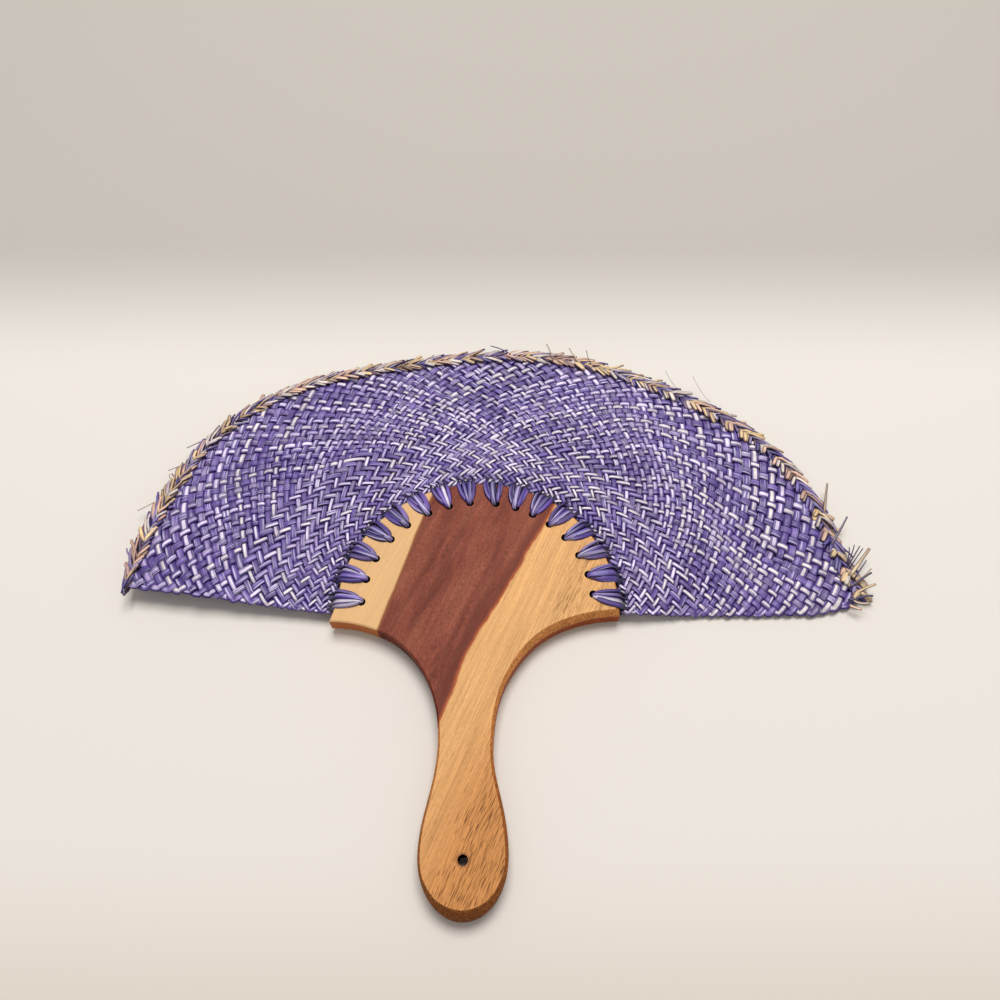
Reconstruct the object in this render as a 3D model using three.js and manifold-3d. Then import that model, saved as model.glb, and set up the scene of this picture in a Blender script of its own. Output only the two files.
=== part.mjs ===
// Hand fan: a plaited palm-leaf blade laced to a flat carved wooden handle.
// Millimetres, +Z up. The fan lies on its back with the grip towards -Y.
// The model is drawn about the centre of the lacing holes' ring, halfway through the board,
// and is moved at the end so that the origin lies under the middle of its box.
import * as THREE from 'three';
import { mergeVertices } from 'three/addons/utils/BufferGeometryUtils.js';
import Module from 'manifold-3d';

// Handle board. A drop is measured from the ring's centre towards the grip.
const headRadius = 80;
const skirt = { left: 12, right: 6 };
const shoulderPullShare = 0.6;
const neckHalfWidth = 14.2;
const neckDrop = 80;
const gripOffset = -5;
const gripHalfWidth = 21.8;
const gripDrop = 130;
const gripEndLength = 28.5;
const gripSwell = 18;
const boardThickness = 11;
const edgeRound = 1.6;
const hangHoleDiameter = 5;
const hangHoleDrop = 133;

// Lacing: three leaf strips are doubled through each hole near the head's rim.
const holeCount = 16;
const holeRingRadius = 66;
const holeFanAngle = { left: 180, right: 3 };
const holeDiameter = 4.8;
const stripLetters = ['a', 'b', 'c'];
const stripWidth = 3.6;
const stripSpread = 4.3;
const stripThickness = 1;
const stripLap = 7;
const stripClimb = 4.2;

// A tuft narrows from the head's rim to a waist, and again to its fold in the hole.
const rimShare = 0.92;
const waistShare = 0.62;
const waistReach = 6.7;
const waistRise = 0.5;
const waistDepth = 1.5;
const foldReach = 1.2;
const foldRise = 0.7;
const foldDepth = 2;
const foldEntryDepth = 1.5;

// Clearances: between touching pieces, and between the board's rim and the blade.
const clearance = 0.3;
const rimGap = 0.5;

// Blade: the plaited field between the head's rim and the plaited edge.
// It leaves the board level, droops to the table, and lifts again at its two lower edges.
const bladeThickness = 1.8;
const selvedgeThickness = 2.8;
const selvedgeWidth = 5;
const selvedgeStartShare = 0.12;
const bladeReach = { left: 191.4, right: 209.9 };
const bladeHeight = 183.4;
const bladeFullnessExponent = 2.34;
const bladeFootAngle = { left: 183.5, right: -4.5 };
const bladeTipAngle = { left: 176.8, right: -0.6 };
const bladeDroop = 4.9;
const droopStartShare = 0.08;
const bladeLift = { left: 11, right: 3 };
const liftSpanShare = 0.17;
const liftLossShare = 0.35;

// The edge was drawn round by eye: slow waves, counted to the full turn, with a crest near the top.
const wanderDepth = 3;
const wanderCount = 6.2;
const wanderCrestAngle = 80;

// Plaited edge that the strips' ends are turned into: crests in a V that point to the left.
const plaitWidth = 14.6;
const plaitThickness = 5;
const plaitPitch = 9;
const plaitNotchShare = 0.74;
const plaitLean = 7;
const plaitOverhang = 2;

// Facets.
const outlineStepCount = 12;
const edgeStepCount = 2;
const drillSideCount = 12;
const bladeColumnCount = 56;
const bladeRowCount = 9;
const plaitSideCount = 10;
const rimStepCount = 400;

const boardHalf = boardThickness / 2;
const bladeInnerRadius = headRadius + rimGap;
const radians = THREE.MathUtils.degToRad;
const smooth = (x) => THREE.MathUtils.smoothstep(x, 0, 1);

const wasm = await Module();
wasm.setup();

// A closed three.js geometry as a manifold-3d solid, and back again.
function toSolid(geometry) {
  const bare = geometry.clone();
  bare.deleteAttribute('normal');
  bare.deleteAttribute('uv');
  const merged = mergeVertices(bare, 1e-4);
  return new wasm.Manifold(new wasm.Mesh({
    numProp: 3,
    vertProperties: merged.attributes.position.array,
    triVerts: new Uint32Array(merged.index.array),
  }));
}

function toGeometry(solid) {
  const mesh = solid.getMesh();
  const geometry = new THREE.BufferGeometry();
  geometry.setAttribute('position', new THREE.BufferAttribute(mesh.vertProperties, 3));
  geometry.setIndex(new THREE.BufferAttribute(mesh.triVerts, 1));
  geometry.computeVertexNormals();
  return geometry;
}

function indexed(points, triangles) {
  const geometry = new THREE.BufferGeometry().setFromPoints(points);
  geometry.setIndex(triangles);
  geometry.computeVertexNormals();
  return geometry;
}

// Skin over a row of equal rings of points, closed by a flat fan at each end.
function loft(rings) {
  const size = rings[0].length;
  const triangles = [];
  for (let r = 0; r + 1 < rings.length; r += 1) {
    for (let k = 0; k < size; k += 1) {
      const a = r * size + k;
      const b = r * size + (k + 1) % size;
      triangles.push(a, b, b + size, a, b + size, a + size);
    }
  }
  const last = (rings.length - 1) * size;
  for (let k = 1; k + 1 < size; k += 1) {
    triangles.push(0, k + 1, k, last, last + k, last + k + 1);
  }
  return indexed(rings.flat(), triangles);
}

// Board with rounded edges, drilled for the lacing and for hanging.
function makeHandle() {
  const neck = { left: gripOffset - neckHalfWidth, right: gripOffset + neckHalfWidth };
  const grip = { left: gripOffset - gripHalfWidth, right: gripOffset + gripHalfWidth };
  const foot = gripDrop - gripSwell;
  const throat = neckDrop + gripSwell;
  const shoulder = (side, sign) => ({
    across: sign * headRadius + shoulderPullShare * (neck[side] - sign * headRadius),
    down: neckDrop + shoulderPullShare * (skirt[side] - neckDrop),
  });
  const leftShoulder = shoulder('left', -1);
  const rightShoulder = shoulder('right', 1);
  const outline = new THREE.Shape();
  outline.moveTo(headRadius, -skirt.right);
  outline.lineTo(headRadius, 0);
  outline.absarc(0, 0, headRadius, 0, Math.PI, false);
  outline.lineTo(-headRadius, -skirt.left);
  outline.bezierCurveTo(
    leftShoulder.across, -skirt.left, neck.left, -leftShoulder.down, neck.left, -neckDrop);
  outline.bezierCurveTo(neck.left, -throat, grip.left, -foot, grip.left, -gripDrop);
  outline.absellipse(gripOffset, -gripDrop, gripHalfWidth, gripEndLength, Math.PI, 2 * Math.PI, false);
  outline.bezierCurveTo(grip.right, -foot, neck.right, -throat, neck.right, -neckDrop);
  outline.bezierCurveTo(
    neck.right, -rightShoulder.down, rightShoulder.across, -skirt.right, headRadius, -skirt.right);

  const board = new THREE.ExtrudeGeometry(outline, {
    depth: boardThickness - 2 * edgeRound,
    curveSegments: outlineStepCount,
    bevelThickness: edgeRound,
    bevelSize: edgeRound,
    bevelOffset: -edgeRound,
    bevelSegments: edgeStepCount,
  });
  board.translate(0, 0, edgeRound - boardHalf);

  let solid = toSolid(board);
  const drill = (x, y, diameter) => {
    const bit = new THREE.CylinderGeometry(diameter / 2, diameter / 2, 2 * boardThickness, drillSideCount);
    bit.rotateX(Math.PI / 2);
    bit.translate(x, y, 0);
    solid = solid.subtract(toSolid(bit));
  };
  drill(gripOffset, -hangHoleDrop, hangHoleDiameter);
  for (let hole = 0; hole < holeCount; hole += 1) {
    const angle = holeAngle(hole);
    drill(holeRingRadius * Math.cos(angle), holeRingRadius * Math.sin(angle), holeDiameter);
  }
  return toGeometry(solid);
}

// Holes are counted from the left shoulder, over the top, to the right one.
function holeAngle(hole) {
  return radians(THREE.MathUtils.lerp(holeFanAngle.left, holeFanAngle.right, hole / (holeCount - 1)));
}

// One leaf strip: from the blade's front face over the rim, through its hole and back
// to the blade's rear face. Each station gives the strip's middle line and its section.
function makeStrip(hole, lane) {
  const onBlade = bladeThickness / 2 + clearance + stripThickness / 2;
  const onBoard = boardHalf + clearance + stripThickness / 2;
  const holeFlat = holeDiameter / 2 * Math.cos(Math.PI / drillSideCount);
  const foldRoom = 2 * Math.sqrt(holeFlat ** 2 - (foldDepth / 2) ** 2);
  const foldSpread = (foldRoom - clearance) / stripLetters.length;
  const foldWidth = foldSpread - clearance;
  const station = (reach, height, aside, width, depth) => ({ reach, height, aside, width, depth });
  const flat = (reach, height, share, depth) => (
    station(reach, height, share * stripSpread, share * stripWidth, depth));
  const front = [
    flat(headRadius + stripLap, onBlade, 1, stripThickness),
    flat(headRadius + stripClimb, onBlade, 1, stripThickness),
    flat(headRadius - clearance, onBoard, rimShare, stripThickness),
    flat(holeRingRadius + waistReach, onBoard + waistRise, waistShare, waistDepth),
    station(holeRingRadius + foldReach, boardHalf + foldRise, foldSpread, foldWidth, foldEntryDepth),
    station(holeRingRadius, boardHalf - foldDepth, foldSpread, foldWidth, foldDepth),
  ];
  const back = front.map((at) => ({ ...at, height: -at.height })).reverse();
  const stations = [...front, ...back];

  const angle = holeAngle(hole);
  const outward = new THREE.Vector3(Math.cos(angle), Math.sin(angle), 0);
  const across = new THREE.Vector3(Math.sin(angle), -Math.cos(angle), 0);
  const up = new THREE.Vector3(0, 0, 1);

  const rings = stations.map((at, i) => {
    const before = stations[Math.max(i - 1, 0)];
    const after = stations[Math.min(i + 1, stations.length - 1)];
    const run = new THREE.Vector2(after.reach - before.reach, after.height - before.height).normalize();
    const middle = outward.clone().multiplyScalar(at.reach)
      .addScaledVector(across, lane * at.aside)
      .addScaledVector(up, at.height);
    const lift = up.clone().multiplyScalar(-run.x).addScaledVector(outward, run.y);
    const corner = (sideways, upwards) => middle.clone()
      .addScaledVector(across, sideways * at.width / 2)
      .addScaledVector(lift, upwards * at.depth / 2);
    return [corner(-1, -1), corner(1, -1), corner(1, 1), corner(-1, 1)];
  });
  return loft(rings);
}

// Blade outline: share 0 is the right-hand edge, 1 the left-hand edge; margin widens it.
// A full ellipse, with the slow waver of an edge that was drawn round by eye.
function bladeRim(share, margin) {
  const angle = radians(THREE.MathUtils.lerp(bladeTipAngle.right, bladeTipAngle.left, share));
  const reach = (Math.cos(angle) > 0 ? bladeReach.right : bladeReach.left) + margin;
  const height = bladeHeight + margin;
  const across = (Math.abs(Math.cos(angle)) / reach) ** bladeFullnessExponent;
  const along = (Math.abs(Math.sin(angle)) / height) ** bladeFullnessExponent;
  const waver = wanderDepth * Math.cos(wanderCount * (angle - radians(wanderCrestAngle)));
  const radius = (across + along) ** (-1 / bladeFullnessExponent) + waver;
  return new THREE.Vector3(radius * Math.cos(angle), radius * Math.sin(angle), 0);
}

// Height of the blade's middle surface: it droops to the table and its lower edges lift.
function bladeLevel(share, out) {
  const past = smooth((out - droopStartShare) / (1 - droopStartShare));
  const near = (edge) => Math.exp(-(((share - edge) / liftSpanShare) ** 2));
  const lift = bladeLift.left * near(1) + bladeLift.right * near(0);
  return past * (lift * (1 - liftLossShare * out) - bladeDroop);
}

function bladePoint(share, out) {
  const angle = radians(THREE.MathUtils.lerp(bladeFootAngle.right, bladeFootAngle.left, share));
  const foot = new THREE.Vector3(Math.cos(angle), Math.sin(angle), 0).multiplyScalar(bladeInnerRadius);
  const point = foot.lerp(bladeRim(share, 0), out);
  point.z = bladeLevel(share, out);
  return point;
}

// Plaited field as one curved mat, a little thicker where the strips turn back at its lower edges.
function makeBlade() {
  const edgeShare = selvedgeWidth / (Math.PI * bladeHeight);
  const inner = Array.from({ length: bladeColumnCount + 1 }, (_, i) => (
    THREE.MathUtils.lerp(2 * edgeShare, 1 - 2 * edgeShare, i / bladeColumnCount)));
  const shares = [0, edgeShare, ...inner, 1 - edgeShare, 1];
  const outs = Array.from({ length: bladeRowCount + 1 }, (_, i) => i / bladeRowCount);

  const thickness = (share) => {
    const fromEdge = Math.min(share, 1 - share) / (2 * edgeShare);
    return THREE.MathUtils.lerp(selvedgeThickness, bladeThickness, smooth(fromEdge));
  };
  const face = (side) => shares.flatMap((share) => outs.map((out) => {
    const point = bladePoint(share, out);
    const fade = smooth(out / selvedgeStartShare);
    const half = THREE.MathUtils.lerp(bladeThickness, thickness(share), fade) / 2;
    point.z += side * half;
    return point;
  }));

  const points = [...face(1), ...face(-1)];
  const perRow = outs.length;
  const under = shares.length * perRow;
  const triangles = [];
  const quad = (a, b, c, d) => triangles.push(a, b, c, a, c, d);
  const at = (i, j) => i * perRow + j;
  const wall = (a, b) => quad(a, b, b + under, a + under);
  for (let i = 0; i + 1 < shares.length; i += 1) {
    for (let j = 0; j < bladeRowCount; j += 1) {
      quad(at(i, j), at(i, j + 1), at(i + 1, j + 1), at(i + 1, j));
      quad(under + at(i, j), under + at(i + 1, j), under + at(i + 1, j + 1), under + at(i, j + 1));
    }
    wall(at(i, 0), at(i + 1, 0));
    wall(at(i + 1, bladeRowCount), at(i, bladeRowCount));
  }
  for (let j = 0; j < bladeRowCount; j += 1) {
    wall(at(0, j + 1), at(0, j));
    wall(at(shares.length - 1, j), at(shares.length - 1, j + 1));
  }
  return indexed(points, triangles);
}

// Plaited edge: a flat rope along the blade's rim whose crests lean forward in a V.
function makePlait() {
  const margin = clearance + plaitWidth / 2;
  const line = new THREE.CatmullRomCurve3(Array.from({ length: rimStepCount + 1 }, (_, i) => {
    const point = bladeRim(i / rimStepCount, margin);
    point.z = bladeLevel(i / rimStepCount, 1);
    return point;
  }));
  const length = line.getLength();
  const crests = Math.round(length / plaitPitch);
  const halfCorner = Math.PI / plaitSideCount;
  const halfWidth = plaitWidth / 2 / Math.cos(halfCorner);
  const halfThickness = plaitThickness / 2;
  const rings = [];
  for (let i = 0; i <= 2 * crests; i += 1) {
    const share = i / (2 * crests);
    const swell = i % 2 ? 1 : plaitNotchShare;
    const atEnd = i === 0 || i === 2 * crests;
    const overhang = atEnd ? Math.sign(share - 0.5) * plaitOverhang : 0;
    const ring = [];
    for (let k = 0; k < plaitSideCount; k += 1) {
      const turn = -halfCorner * (2 * k + 1);
      const lean = atEnd ? 0 : plaitLean * Math.sin(turn) ** 2;
      const along = THREE.MathUtils.clamp(share + lean / length, 0, 1);
      const forward = line.getTangentAt(along);
      const outward = new THREE.Vector3(forward.y, -forward.x, 0).normalize();
      const point = line.getPointAt(along)
        .addScaledVector(forward, overhang)
        .addScaledVector(outward, halfWidth * Math.cos(turn));
      point.z += halfThickness * swell * Math.sin(turn);
      ring.push(point);
    }
    rings.push(ring);
  }
  return loft(rings);
}

const wood = new THREE.MeshStandardMaterial({ color: 0xb9813f, roughness: 0.55, metalness: 0 });
const leaf = new THREE.MeshStandardMaterial({ color: 0x5b4aa8, roughness: 0.6, metalness: 0 });
const paleLeaf = new THREE.MeshStandardMaterial({ color: 0x8a7a9c, roughness: 0.65, metalness: 0 });

function addPiece(group, name, geometry, material) {
  const mesh = new THREE.Mesh(geometry, material);
  mesh.name = name;
  group.add(mesh);
}

const assembly = new THREE.Group();
addPiece(assembly, 'handle', makeHandle(), wood);
addPiece(assembly, 'woven_blade', makeBlade(), leaf);
addPiece(assembly, 'rim_plait', makePlait(), paleLeaf);
for (let hole = 0; hole < holeCount; hole += 1) {
  const number = String(hole + 1).padStart(2, '0');
  stripLetters.forEach((letter, i) => {
    const lane = i - (stripLetters.length - 1) / 2;
    addPiece(assembly, `leaf_strip_${number}${letter}`, makeStrip(hole, lane), leaf);
  });
}

// The origin is the middle of the box's underside, where the fan meets the table.
const box = new THREE.Box3().setFromObject(assembly, true);
const middle = box.getCenter(new THREE.Vector3());
assembly.position.set(-middle.x, -middle.y, -box.min.z);

const fan = new THREE.Group();
fan.add(assembly);
export default fan;
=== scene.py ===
# Hand fan: dyed palm leaf plaited into a half-round blade and laced to a carved wooden board
import math
import random

import bpy
import numpy as np
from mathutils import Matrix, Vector, noise


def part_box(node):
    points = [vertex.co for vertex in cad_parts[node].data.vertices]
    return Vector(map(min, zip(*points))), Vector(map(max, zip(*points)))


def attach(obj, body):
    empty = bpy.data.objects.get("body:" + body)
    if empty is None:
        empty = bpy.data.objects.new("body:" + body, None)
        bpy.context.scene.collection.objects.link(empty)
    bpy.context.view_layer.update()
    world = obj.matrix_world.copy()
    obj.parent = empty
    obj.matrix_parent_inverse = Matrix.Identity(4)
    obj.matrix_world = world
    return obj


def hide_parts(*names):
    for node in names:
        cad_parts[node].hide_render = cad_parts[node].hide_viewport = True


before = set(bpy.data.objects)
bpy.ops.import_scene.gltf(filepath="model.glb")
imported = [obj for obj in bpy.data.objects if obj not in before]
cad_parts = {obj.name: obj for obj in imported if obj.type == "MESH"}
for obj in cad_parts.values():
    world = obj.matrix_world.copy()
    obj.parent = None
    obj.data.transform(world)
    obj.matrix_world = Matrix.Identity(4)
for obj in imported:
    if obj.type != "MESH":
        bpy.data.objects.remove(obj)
bpy.ops.object.select_all(action="DESELECT")
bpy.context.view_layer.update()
mm = 0.001
print("frame loaded:", len(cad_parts), "solids")

# The lacing holes' ring is the middle that everything is drawn about, halfway through the board
board = {
    "headRadius": 80, "skirtLeft": 12, "skirtRight": 8, "skirtFlare": 3, "shoulderPull": 0.6,
    "neckHalfWidth": 14.2, "neckDrop": 80, "gripOffset": -5, "gripHalfWidth": 21.8,
    "gripDrop": 130, "gripEnd": 28.5, "gripSwell": 18, "thickness": 11,
    "edgeSteps": 4, "outlineSteps": 20, "waver": 0.35, "waverLength": 24, "edgeBack": 1.0, "edgeBulge": 1.75,
    "smoothAngle": 20, "drillSides": 30, "drillTurn": 0.05, "drillPast": 2, "flatWithin": 0.02,
    "boreWithin": 0.1, "boreTilt": 0.3,
    # how far the front edge is carved back, from the grip's end up each side: y, width
    "edgesLeft": [(-158, 4.4), (-151, 2.6), (-140, 1.3), (-80, 1.2), (-40, 0.8), (0, 0.8)],
    "edgesRight": [
        (-158, 4.4), (-151, 3.0), (-138, 1.7), (-80, 1.6), (-58, 1.8), (-42, 2.3), (-28, 3.2), (-14, 3.5),
        (-8, 3.2), (0, 0.8)],
    "holeCount": 16, "holeRing": 66, "holeLeft": 180, "holeRight": 3, "holeWidth": 4.8,
    # drilled by eye: how far each hole strays from even spacing, in degrees
    "holeStray": (0.2, -0.3, -0.8, -2.1, -1.9, -3.1, -2.9, -2.3, -4.4, -3.4, -1.5, -0.2, 0.4, -0.1, 0.1, 0.9),
    "hangDrop": 133, "hangWidth": 5,
}
boardLow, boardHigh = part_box("handle")
ringMiddle = Vector((
    (boardLow.x + boardHigh.x) / 2,
    boardLow.y + (board["gripDrop"] + board["gripEnd"]) * mm,
    (boardLow.z + boardHigh.z) / 2,
))


def inFrame(x, y, z=0.0):
    return ringMiddle + Vector((x, y, z)) * mm


def linear(hexColour):
    parts = [int(hexColour[i:i + 2], 16) / 255 for i in (1, 3, 5)]
    return [p / 12.92 if p <= 0.04045 else ((p + 0.055) / 1.055) ** 2.4 for p in parts] + [1.0]


def addNode(tree, kind, settings=None, inputs=None):
    node = tree.nodes.new(kind)
    for name, value in (settings or {}).items():
        setattr(node, name, value)
    for socket, value in (inputs or {}).items():
        if isinstance(value, bpy.types.NodeSocket):
            tree.links.new(value, node.inputs[socket])
        else:
            node.inputs[socket].default_value = value
    return node


def setRamp(node, stops):
    while len(node.color_ramp.elements) < len(stops):
        node.color_ramp.elements.new(0.5)
    for element, (place, colour) in zip(node.color_ramp.elements, stops):
        element.position = place
        element.color = colour
    return node


def newMaterial(name):
    material = bpy.data.materials.new(name)
    material.use_nodes = True
    tree = material.node_tree
    return material, tree, tree.nodes["Principled BSDF"]


# Oiled tropical hardwood, sawn and sanded by hand: red heartwood crosses pale sapwood on the slant,
# open pores show as short dark dashes along the grain, and the oil leaves a satin skin
woodLook = {
    "heart": "#8a4735", "heartDark": "#713527", "heartLight": "#97543e", "heartStops": (0.32, 0.5, 0.68),
    "borderLeft": "#8f532f", "borderRight": "#ab532f",
    "sapLeft": "#ebbb83", "sapRight": "#ecb274", "sapGrip": "#d69254",
    "sideTone": "#c8926c", "edgeTone": "#e6c8ae", "pore": "#84512a", "scuff": "#6d3c20", "scuffWidth": 1.6,
    "poreFrom": 0.78, "poreFull": 0.86, "poreDent": 0.3, "fibreDent": 0.25, "dentDepth": 0.2, "sheen": 0.1,
    "grainAngle": 66,
    # patterns drawn out along the grain: length and width in millimetres, detail, roughness, distortion
    "patterns": {
        "wander": (22, 22, 4, 0.6, 0), "streak": (34, 0.62, 4, 0.6, 0), "cloud": (42, 9, 4, 0.6, 0.4),
        "band": (150, 5, 3, 0.55, 0.3), "fleck": (2.4, 0.5, 2, 0.6, 0), "dash": (6.5, 0.36, 0, 0.5, 0),
        "group": (17, 17, 1, 0.5, 0), "grit": (0.9, 0.9, 2, 0.7, 0),
    },
    # how far the heartwood's borders wander: two levels of the pattern, millimetres there
    "strays": {"wanderMm": ("wander", 0.25, 0.75, -1.3, 1.3)},
    # millimetres inside each border, from lines with a slope along the grain and a place across it, of which
    # the right one bends away towards the grip: operation, terms
    "borders": {
        "leftLine": ("MULTIPLY_ADD", "along", 0.133, 49.3),
        "headLine": ("MULTIPLY_ADD", "along", -0.08, -9.8), "tailLine": ("MULTIPLY_ADD", "along", 0.09, -4.0),
        "rightLine": ("SMOOTH_MIN", "headLine", "tailLine", 5.0),
        "leftGap": ("SUBTRACT", "leftLine", "across"), "rightGap": ("SUBTRACT", "across", "rightLine"),
        "inLeft": ("MULTIPLY_ADD", "wanderMm", 0.35, "leftGap"), "inRight": ("ADD", "rightGap", "wanderMm"),
    },
    # zones in millimetres along the grain, across it or inside a border: start, end, the values there
    "zones": {
        "toRight": ("across", 45, 0, 0, 1), "towardsRim": ("across", -8, -52, 0, 1),
        "porous": ("across", -30, -50, 0, 1), "towardsEnd": ("along", -5, -102, 0, 1),
        # the end zone sets painted shade on the rasped edges, deeper towards the grip's end
        "endShade": ("along", -60, -150, 1, 0.5), "rightDark": ("inRight", 9, 2.5, 0, 0.75),
        "leftBorder": ("inLeft", -0.7, 1, 0, 1), "leftHeart": ("inLeft", 0.3, 3, 0, 1),
        "rightBorder": ("inRight", -1.1, 0.4, 0, 1), "rightHeart": ("inRight", 0.2, 2, 0, 1),
    },
    # tones of a pattern, a zone or the face's tilt: two levels of it, the values there
    "tones": {
        "streakTone": ("streak", 0.35, 0.65, 0.82, 1.16), "bandTone": ("band", 0.33, 0.67, 0.91, 1.08),
        "fibreTone": ("fleck", 0.3, 0.7, 0.86, 1.10), "figureShare": ("toRight", 0, 1, 0.4, 1),
        "fleckTone": ("fleck", 0.3, 0.7, 0.52, 1.46), "heartBand": ("band", 0.33, 0.67, 0.80, 1.16),
        "gritTone": ("grit", 0.35, 0.6, 0.55, 1.05), "satin": ("streak", 0.3, 0.7, 0.58, 0.44),
        "poreDepth": ("towardsEnd", 0, 1, 0.55, 1),
        "sawn": ("upright", 0.5, 0.1, 0, 1), "rasped": ("upright", 0.97, 0.8, 0, 1),
    },
    # what is reckoned from those: operation, terms
    "sums": {
        "toGrip": ("MULTIPLY", "towardsEnd", "towardsRim"), "figured": ("MULTIPLY", "streakTone", "bandTone"),
        "grown": ("MULTIPLY", "figured", "fibreTone"), "flecked": ("MULTIPLY", "fleckTone", "heartBand"),
        "toBorder": ("MINIMUM", "leftBorder", "rightBorder"),
        "toHeart": ("MINIMUM", "leftHeart", "rightHeart"),
        "grouped": ("MULTIPLY_ADD", "group", 0.9, -0.5), "thick": ("ADD", "porous", "grouped"),
        "poreLevel": ("MULTIPLY_ADD", "thick", 0.20, "dash"),
        "poreShare": ("MULTIPLY", "poreDepth", "toRight"),
        "lipShare": ("MULTIPLY", "lip", "fleck"), "raspShare": ("MULTIPLY", "rasped", "toRight"),
    },
    # layers of colour: blending, share, what lies below, what comes over it
    "layers": {
        "sapSide": ("MIX", "toRight", "sapLeft", "sapRight"),
        "sapPlain": ("MIX", "toGrip", "sapSide", "sapGrip"),
        "sapwood": ("MULTIPLY", "figureShare", "sapPlain", "grown"),
        "heartTone": ("MULTIPLY", 0.85, "clouded", "flecked"),
        "heartwood": ("MIX", "rightDark", "heartTone", "heartDark"),
        "borderTone": ("MIX", "toRight", "borderLeft", "borderRight"),
        "bordered": ("MIX", "toBorder", "sapwood", "borderTone"),
        "timber": ("MIX", "toHeart", "bordered", "heartwood"),
        "pored": ("MIX", "poreMask", "timber", "pore"), "lipped": ("MIX", "lipShare", "pored", "scuff"),
        "raspEdge": ("MULTIPLY", "raspShare", "lipped", "gritTone"),
        # the rasped edges are browned and painted darker: painted shade, deepest at the grip's end
        "brownedAndShaded": ("MULTIPLY", "raspShare", "raspEdge", "shadedEdge"),
        "finished": ("MULTIPLY", "sawn", "brownedAndShaded", "sideTone"),
    },
}


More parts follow.
